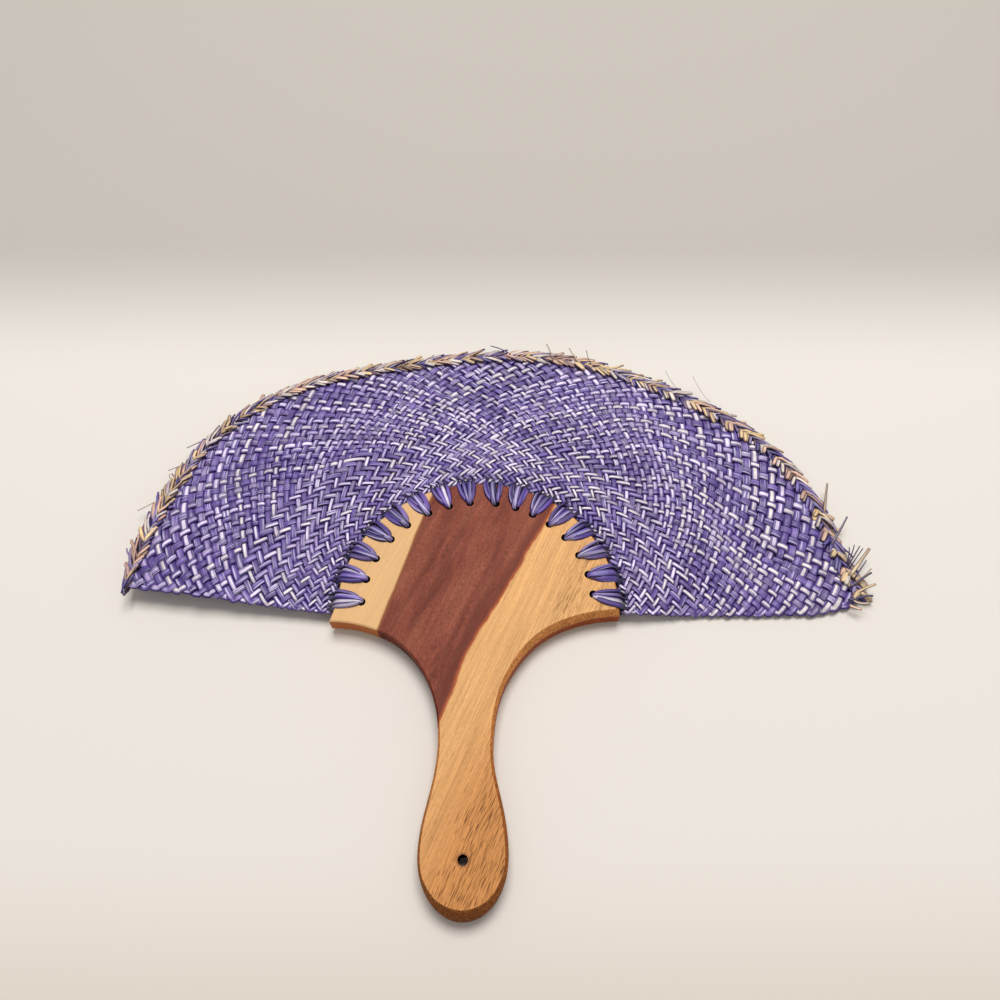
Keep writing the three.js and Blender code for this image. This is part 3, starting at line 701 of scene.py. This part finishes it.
def plaitStrip(strips, start, leansLeft, dye, rng):
    p = plait
    count = p["strips"]
    ring = np.arange(p["startRing"], p["lastRing"], 1 / p["samples"])
    slope = 0.5 if leansLeft else -0.5
    free = start + slope * ring
    turned = free > count if leansLeft else free < 0
    place = count - np.sqrt((count - free) ** 2 + p["foldRound"] ** 2)
    place = np.sqrt(place ** 2 + p["foldRound"] ** 2)
    family = 9.0 if leansLeft else 2.0   # first layer of its noise

    def stray(kind):
        far, pace, apart, layer = p[kind]
        return far * np.array([noise.noise(Vector((r * pace, start * apart, family + layer))) for r in ring])
    seat, reach = crowd(place + stray("sway"), ring)
    share = seat / count
    radius = ringRadius(reach)
    middle, out = bladePoint(share, radius)
    past = out >= p["rimLap"]
    last = int(np.argmax(past)) if past.any() else len(out)
    ring, share, radius, middle, turned = (rows[:last] for rows in (ring, share, radius, middle, turned))

    step = 0.002
    acrossBlade = bladePoint(share + step, radius)[0] - bladePoint(share - step, radius)[0]
    outward = bladePoint(share, radius + 1)[0] - bladePoint(share, radius - 1)[0]
    up = np.cross(outward, acrossBlade)
    up /= np.linalg.norm(up, axis=1, keepdims=True)

    # over or under at each crossing, eased between
    def level(crossing):
        at = count - np.abs(count - np.abs(start + slope * crossing))
        leftUp = np.array([leftOver(int(r), a) for r, a in zip(crossing, at)])
        return np.where(leftUp == (turned != leansLeft), 1.0, -1.0)
    low = np.floor(ring)
    easing = smooth((ring - low - p["riseFrom"]) / p["riseSpan"])
    height = level(low) + (level(low + 1) - level(low)) * easing
    middle = middle + up * (p["rise"] * height)[:, None]

    side, up = directions(middle, up)
    roll = stray("roll")[:, None]
    side, up = side * np.cos(roll) + up * np.sin(roll), up * np.cos(roll) - side * np.sin(roll)
    crestHex, flankHex, fill, glint, _ = dye
    turn = math.radians((blade["footLeft"] - blade["footRight"]) / count)
    climb = p["ringGrowth"] * (1 - 2 * p["ringCrowd"] * ring)
    spacing = p["spacing"] * radius * turn * climb / np.hypot(climb, turn / 2)
    halfWidth = spacing * fill / 2 * (1 + stray("waver")) * rng.uniform(*p["widths"])
    tones = [rng.uniform(*p["tones"]) for _ in range(p["toneCount"])]
    foot = p["footShade"] + (1 - p["footShade"]) * smooth(ring / p["footRings"])   # in the board's shadow
    tone = np.array([tones[int(r // p["toneRings"])] for r in ring]) * foot
    crown = np.exp(-((share - 0.5) / p["crownSpan"]) ** 2)   # painted highlight is strongest on the top of the blade
    # painted highlight, held back in the board's painted shadow
    glint *= rng.uniform(*p["shines"]) * foot * (1 + p["crownShine"] * crown)
    crest, flank = (np.array(linear(dyeHex)[:3]) * tone[:, None] for dyeHex in (crestHex, flankHex))
    # painted edge shade reaches further in towards the rim, so the strips look narrower with dark gaps
    fold = 1 + p["fold"] * smooth((radius - p["foldFrom"]) / p["foldSpan"])
    strips.add(middle, side, up, halfWidth, p["thickness"], crest, glint, (height + 1) / 2,
               rng.uniform(*p["creases"]), fold, flank)


def weaveBlade(leaf):
    for leansLeft, name, seed, rareFrom in plait["families"]:
        rng = random.Random(seed)
        strips = Strips()
        dyes = dealDyes(rng, plait["strips"], rareFrom)
        for index in range(plait["strips"]):
            plaitStrip(strips, index + 0.5, leansLeft, dyes[index], rng)
        piece = strips.build(name)
        finishPiece(piece, leaf, "dyed_leaf", "woven_blade")
        print(name, "woven:", len(piece.data.polygons), "faces")


# Lacing: a tuft of strips to a hole, drawn together at the hole and spread over the board's edge
tuft = {
    "seed": 300, "lanes": (3, 4, 4), "width": 15.0, "spread": 5.5, "thickness": 1.1, "roll": 34,
    # more of each tuft strip lies in the painted edge shade
    "fold": 1.4, "tipRadius": 65, "tipRound": 1.7, "tipSpan": 9, "sideSink": 0.4,
    "lean": 0.6, "rimFrom": 79, "rimSpan": 3, "holeTo": 67, "holeSpan": 1.5,
    "strays": (-0.1, 0.1), "lifts": (-0.15, 0.25), "widths": (0.88, 1.08), "tones": (0.55, 1.15),
    # range of how much painted highlight the tuft strips take
    "shines": (0.05, 0.6), "creases": (-0.6, 0.9),
    # radius, height above the board's face, width against the strip's lane, share of the spread, brightness:
    # painted shade, dark down the hole and past the board's edge
    "stations": [
        (66.6, -4.2, 0.46, 0.16, 0.08), (65.6, -1.9, 0.52, 0.20, 0.12), (65.2, -0.2, 0.58, 0.27, 0.3),
        (65.6, 0.9, 0.66, 0.34, 0.75), (66.9, 1.6, 0.76, 0.44, 1.0), (69.5, 2.0, 0.88, 0.60, 1.0),
        (72.8, 1.9, 0.97, 0.76, 1.0), (76.5, 1.6, 1.00, 0.90, 1.0), (79.4, 1.0, 1.00, 0.98, 0.85),
        (81.2, -0.5, 0.94, 1.0, 0.45), (82.4, -2.5, 0.86, 1.0, 0.2), (84.0, -4.3, 0.78, 1.0, 0.15),
        (86.4, -5.2, 0.70, 1.0, 0.2), (89.0, -5.8, 0.64, 1.0, 0.3),
    ],
    "dyes": ["#6b50a8", "#7a5fba", "#8a6ec2", "#9c84c4"], "bare": "#f0e4f0", "paleShare": 0.06,
}


def laceStrip(strips, hole, lanes, lane, face, rng):
    t = tuft
    start, height, fill, spread, light = np.array(t["stations"]).T
    angle, edgeAngle = holeAngle(hole), footAngle(1 - (hole + 0.5) / board["holeCount"])
    aside = (2 * lane - lanes + 1) / (lanes - 1) + rng.uniform(*t["strays"])
    dye = t["bare"] if rng.random() < t["paleShare"] else rng.choice(t["dyes"])
    closing = 1 - smooth((start - t["tipRadius"]) / t["tipSpan"])
    radius = start + t["tipRound"] * aside ** 2 * closing
    turn = angle + (edgeAngle - angle) * spread
    shift = t["spread"] * aside * spread * (1 - 1 / (2 * lanes))
    raised = height * (1 - t["sideSink"] * abs(aside)) + rng.uniform(*t["lifts"])
    lift = np.where(height > 0, raised, height)
    outward = np.stack([np.cos(turn), np.sin(turn), 0 * turn], -1)
    tangent = np.stack([-np.sin(turn), np.cos(turn), 0 * turn], -1)
    middle = outward * radius[:, None] + tangent * shift[:, None]
    middle[:, 2] = face * (board["thickness"] / 2 + lift)
    tilt = math.radians(t["roll"]) * aside
    up = tangent * math.sin(tilt) + np.array([0, 0, face * math.cos(tilt)])
    overRim = smooth((radius - t["rimFrom"]) / t["rimSpan"])
    intoHole = smooth((t["holeTo"] - radius) / t["holeSpan"])
    side, up = directions(middle, up + outward * (t["lean"] * (overRim - intoHole))[:, None])
    width = t["width"] / lanes * fill * rng.uniform(*t["widths"]) / 2
    # painted shade from the stations' brightness
    base = np.array(linear(dye)[:3]) * rng.uniform(*t["tones"]) * light[:, None]
    strips.add(middle, side, up, width, t["thickness"], base, rng.uniform(*t["shines"]), 1.0,
               rng.uniform(*t["creases"]), t["fold"])


def laceTufts(leaf):
    for hole in range(board["holeCount"]):
        rng = random.Random(tuft["seed"] + hole)
        strips = Strips()
        lanes = rng.choice(tuft["lanes"])
        for face in (1, -1):
            for lane in range(lanes):
                laceStrip(strips, hole, lanes, lane, face, rng)
        piece = strips.build(f"lacing_tuft_{hole + 1:02d}")
        nodes = [f"leaf_strip_{hole + 1:02d}{letter}" for letter in "abc"]
        finishPiece(piece, leaf, "dyed_leaf", *nodes)
    print("lacing tufts tied:", board["holeCount"])


# Braided rim: fishbone of leaf ends whose points face the left end, with loose ends standing out
braid = {
    "seed": 41, "margin": 5.3, "start": -2.0, "end": 3, "pitch": 2.6, "pitches": (0.7, 1.3), "apex": -2.2,
    "outerReach": (13, 26), "bareReach": (9, 15), "outerEdge": (2.2, 5.0), "outerBow": 1.4,
    "spike": 0.12, "spikes": (1.5, 3.5), "stubs": (0, 0.6),
    "innerReach": (6, 12), "innerReachRight": (3, 8), "innerEdge": (-9.2, -6.2), "innerLess": 1.5,
    "innerLap": 0.8, "innerBow": 0.9, "innerWidth": 1.15, "outerSink": 0.75, "innerSink": 0.22,
    "halfWidth": (0.6, 1.25), "leftSlim": 0.16, "rightFrom": 0.55, "rightSpan": 0.2,
    "thickness": 1.0, "crown": (1.3, 3.2), "samples": 8, "endRound": 18, "startRound": 14,
    "endSlim": 0.5, "startSlim": 0.6, "emerge": 0.3, "sunk": 0.6, "shade": 0.4, "spikeFrom": 0.6,
    # ranges of how much painted highlight the braid's ends and loose ends take
    "tones": (0.75, 1.2), "shines": (0.0, 0.25), "creases": (-0.6, 0.9),
    "firstBare": 4.0, "bareGap": (11, 16), "bareRun": (2, 3), "bareWidth": 1.5, "bareRise": 0.5,
    # share of single bare ends among the dyed ones, from the left end to the right
    "strayBare": ((0, 0.25, 0.55, 0.72), (0.14, 0.48, 0.6, 0.12)),
    "dyed": [("#6c5aa0", 26), ("#5a4a7c", 12), ("#8c6c7e", 22), ("#a898b8", 18), ("#8674b4", 18)],
    "bare": [("#fbd998", 30), ("#fccfa6", 26), ("#fff0d4", 32), ("#c09a74", 8)],
    "bows": (-4, 4), "looseLevel": -2, "looseSlim": 0.3, "looseThick": 0.6, "looseShine": 0.2,
    # from x, y to x, y, rise at the end, half width, colour
    "loose": [
        (214, 64, 219, 83, 3, 0.9, "#e3c893"), (213, 41, 225, 58, 4, 0.8, "#6b5467"),
        (219, 28, 221, 37, 4, 0.45, "#55486f"), (219, 27, 224, 38, 5, 0.4, "#6b5467"),
        (219, 26, 227, 37, 5, 0.45, "#4a3f63"), (220, 25, 229, 36, 4, 0.4, "#55486f"),
        (219, 20, 233, 36, 4, 1.2, "#eed49e"), (221, 18, 229, 28, 4, 0.4, "#4a3f63"),
        (221, 14, 231, 23, 3, 0.5, "#d9b98a"), (218, 8, 231, 13, 3, 1.0, "#e6c48e"),
        (214, 4, 228, 6, 2, 0.9, "#4a3f63"), (214, 1, 220, -2, 1, 1.1, "#eebe92"),
        (216, 12, 230, 20, 4, 0.8, "#5b4560"), (217, 4, 224, 1, 3, 0.8, "#f0d6a8"),
        (135, 163, 128, 177, 3, 0.2, "#b9b0a0"), (156, 151, 146, 171, 4, 0.2, "#b9b0a0"),
        (72, 183, 62, 199, 2, 0.7, "#e6cf9c"), (50, 189, 46, 203, 2, 0.5, "#d9a98a"),
        (77, 186, 74, 196, 3, 0.3, "#5b4560"), (20, 195, 6, 202, 1, 0.6, "#4d4288"),
        (-194, 78, -212, 64, 1, 0.35, "#c9a477"), (-184, 104, -200, 94, 1, 0.35, "#c9a477"),
        (-176, 124, -192, 112, 1, 0.4, "#4a3f63"),
    ],
}


def rimLine(steps=1200):
    share = np.linspace(1, 0, steps)
    flat = roundCorner(share, rimLineAt(share, braid["margin"]))
    return np.concatenate([flat, bladeLevel(share, np.ones(steps))[:, None]], -1)


def braidRim(leaf):
    b = braid
    rng = random.Random(b["seed"])
    points = rimLine()
    run = runAlong(points)
    length = run[-1]
    forward = np.gradient(points, axis=0)
    forward[:, 2] = 0
    forward /= np.linalg.norm(forward, axis=1, keepdims=True)
    outward = np.stack([-forward[:, 1], forward[:, 0], 0 * forward[:, 0]], -1)
    strips = Strips()
    q = np.linspace(0, 1, b["samples"])
    under = 1 - smooth(q / b["emerge"])   # each end comes up out of the braid's shadow
    shade = 1 - b["shade"] * under
    shape = 0.6 + 0.4 * np.sin(np.pi * (0.12 + 0.72 * q))   # narrow at both ends

    def lay(distance, aside, height, face, dye, wide):
        held = np.clip(distance, 0, length)
        at, out, on = (np.stack([np.interp(held, run, column) for column in rows.T], -1)
                       for rows in (points, outward, forward))
        middle = at + out * aside[:, None] + on * (distance - held)[:, None]
        middle[:, 2] += face * height
        up = np.zeros_like(middle)
        up[:, 2] = face
        side, up = directions(middle, up)
        base = np.array(linear(dye)[:3]) * rng.uniform(*b["tones"]) * shade[:, None]
        strips.add(middle, side, up, wide * shape, b["thickness"], base, rng.uniform(*b["shines"]), 1.0,
                   rng.uniform(*b["creases"]))

    for face in (1, -1):
        distance, nextBare, bareLeft = b["start"], b["firstBare"], 0
        while distance < length - b["end"]:
            if distance >= nextBare:
                bareLeft = rng.randint(*b["bareRun"])
                nextBare = distance + rng.uniform(*b["bareGap"])
            onRight = smooth((distance / length - b["rightFrom"]) / b["rightSpan"])
            stray = np.interp(distance / length, *b["strayBare"])
            kind = b["bare"] if bareLeft > 0 or rng.random() < stray else b["dyed"]
            bareLeft -= 1
            dye = rng.choices(kind, [d[1] for d in kind])[0][0]
            room = length - distance
            taper = 1 - b["endSlim"] * smooth((b["endRound"] - room) / b["endRound"])
            taper *= 1 - b["startSlim"] * (1 - smooth((distance - b["start"]) / b["startRound"]))
            broad = bareLeft >= 0
            wide = rng.uniform(*b["halfWidth"]) * (b["bareWidth"] if broad else 1.0)
            wide *= 1 - b["leftSlim"] * (1 - onRight)
            rise = (rng.uniform(*b["crown"]) + b["bareRise"] * broad) * (1 - b["sunk"] * under)
            edge = taper * rng.uniform(*b["outerEdge"])
            spike = rng.uniform(*b["spikes" if rng.random() < b["spike"] else "stubs"])
            aside = b["apex"] + (edge - b["apex"]) * (1 - (1 - q) ** b["outerBow"])
            aside = aside + taper * spike * smooth((q - b["spikeFrom"]) / (1 - b["spikeFrom"]))
            reach = min(rng.uniform(*b["bareReach" if broad else "outerReach"]), room)
            lay(distance + q * reach, aside, rise * (1 - b["outerSink"] * q), face, dye, wide)
            inner = rng.uniform(*b["innerEdge"]) + b["innerLess"] * (1 - onRight)
            aside = b["apex"] + b["innerLap"] + taper * (inner - b["apex"]) * q ** b["innerBow"]
            reach = min(rng.uniform(*b["innerReachRight" if onRight > 0.5 else "innerReach"]), room)
            wide *= b["innerWidth"]
            lay(distance + q * reach, aside, rise * (1 - b["innerSink"] * q), face, dye, wide)
            distance += b["pitch"] * rng.uniform(*b["pitches"])

    for x0, y0, x1, y1, rise, wide, dye in b["loose"]:
        bow = q * (1 - q) * rng.uniform(*b["bows"])
        level = b["looseLevel"] + rise * q
        middle = np.stack([x0 + (x1 - x0) * q + bow, y0 + (y1 - y0) * q + bow, level], -1)
        side, up = directions(middle, np.tile([0.0, 0.0, 1.0], (len(q), 1)))
        strips.add(middle, side, up, wide * (1 - b["looseSlim"] * q), min(wide, b["looseThick"]),
                   np.array(linear(dye)[:3]), b["looseShine"])
    piece = strips.build("rim_braid")
    finishPiece(piece, leaf, "mixed_leaf", "rim_plait")
    print("rim braided:", len(piece.data.polygons), "faces")


# Pale table under soft light from above and a little behind
stage = {
    # the back and front tones are painted shade on the paper
    "floor": "#f0e8de", "floorBack": "#c5bdb3", "floorFront": "#dbcfc0",
    "floorSize": 6.0, "floorRoughness": 0.9,
    "floorNear": -0.27, "floorFar": 0.305, "floorStops": (0.0, 0.23, 0.74, 1.0),
    "camera": (12.6, -176.5, 391), "lens": 27, "sensor": 36, "tilt": 32,
    "keyPlace": (0.1, 1.08, 2.7), "keySize": 1.6, "keyPower": 64, "sky": 0.36,
}


def setStage():
    bpy.ops.object.select_all(action="DESELECT")
    bpy.ops.mesh.primitive_plane_add(size=stage["floorSize"], location=(0, 0, 0))
    floor = bpy.context.object
    floor.name = "table"
    material, tree, shader = newMaterial("matt_paper_table")
    where = addNode(tree, "ShaderNodeTexCoord")
    split = addNode(tree, "ShaderNodeSeparateXYZ", {}, {0: where.outputs["Object"]})
    # painted shade: the paper is painted darker towards the back and towards the front
    depth = addNode(tree, "ShaderNodeMapRange", {}, {
        "Value": split.outputs[1], "From Min": stage["floorNear"], "From Max": stage["floorFar"]})
    tones = [linear(stage[name]) for name in ("floorFront", "floor", "floor", "floorBack")]
    paper = setRamp(addNode(tree, "ShaderNodeValToRGB", {}, {0: depth.outputs[0]}), [
        *zip(stage["floorStops"], tones)])
    paper.color_ramp.interpolation = "EASE"
    tree.links.new(paper.outputs[0], shader.inputs["Base Color"])
    shader.inputs["Roughness"].default_value = stage["floorRoughness"]
    floor.data.materials.append(material)

    world = bpy.data.worlds.new("soft_room")
    world.use_nodes = True
    sky = world.node_tree.nodes["Background"]
    sky.inputs["Color"].default_value = linear("#ffffff")
    sky.inputs["Strength"].default_value = stage["sky"]
    scene = bpy.context.scene
    scene.world = world
    lamp = bpy.data.lights.new("ceiling_softbox", "AREA")
    lamp.shape = "SQUARE"
    lamp.size = stage["keySize"]
    lamp.energy = stage["keyPower"]
    key = bpy.data.objects.new("ceiling_softbox", lamp)
    key.location = stage["keyPlace"]
    key.rotation_euler = (-Vector(stage["keyPlace"])).to_track_quat("-Z", "Y").to_euler()
    bpy.context.collection.objects.link(key)

    view = bpy.data.cameras.new("camera")
    view.lens = stage["lens"]
    view.sensor_width = stage["sensor"]
    camera = bpy.data.objects.new("camera", view)
    camera.location = inFrame(*stage["camera"]) + Vector((0, 0, board["thickness"] / 2 * mm))
    camera.rotation_euler = (math.radians(stage["tilt"]), 0, 0)
    bpy.context.collection.objects.link(camera)
    scene.camera = camera
    scene.view_settings.view_transform = "Standard"
    print("stage set")


setStage()
carveBoard()
# each material's second argument is the painted shade at its strips' edges, near black for the tight tufts
dyedLeaf = palmLeaf("vat_dyed_palm_leaf", "#8274b6")
lacedLeaf = palmLeaf("tightly_laced_palm_leaf", "#160d30")
mixedLeaf = palmLeaf("bare_and_dyed_palm_leaf", "#4a3a70")
weaveBlade(dyedLeaf)
laceTufts(lacedLeaf)
braidRim(mixedLeaf)
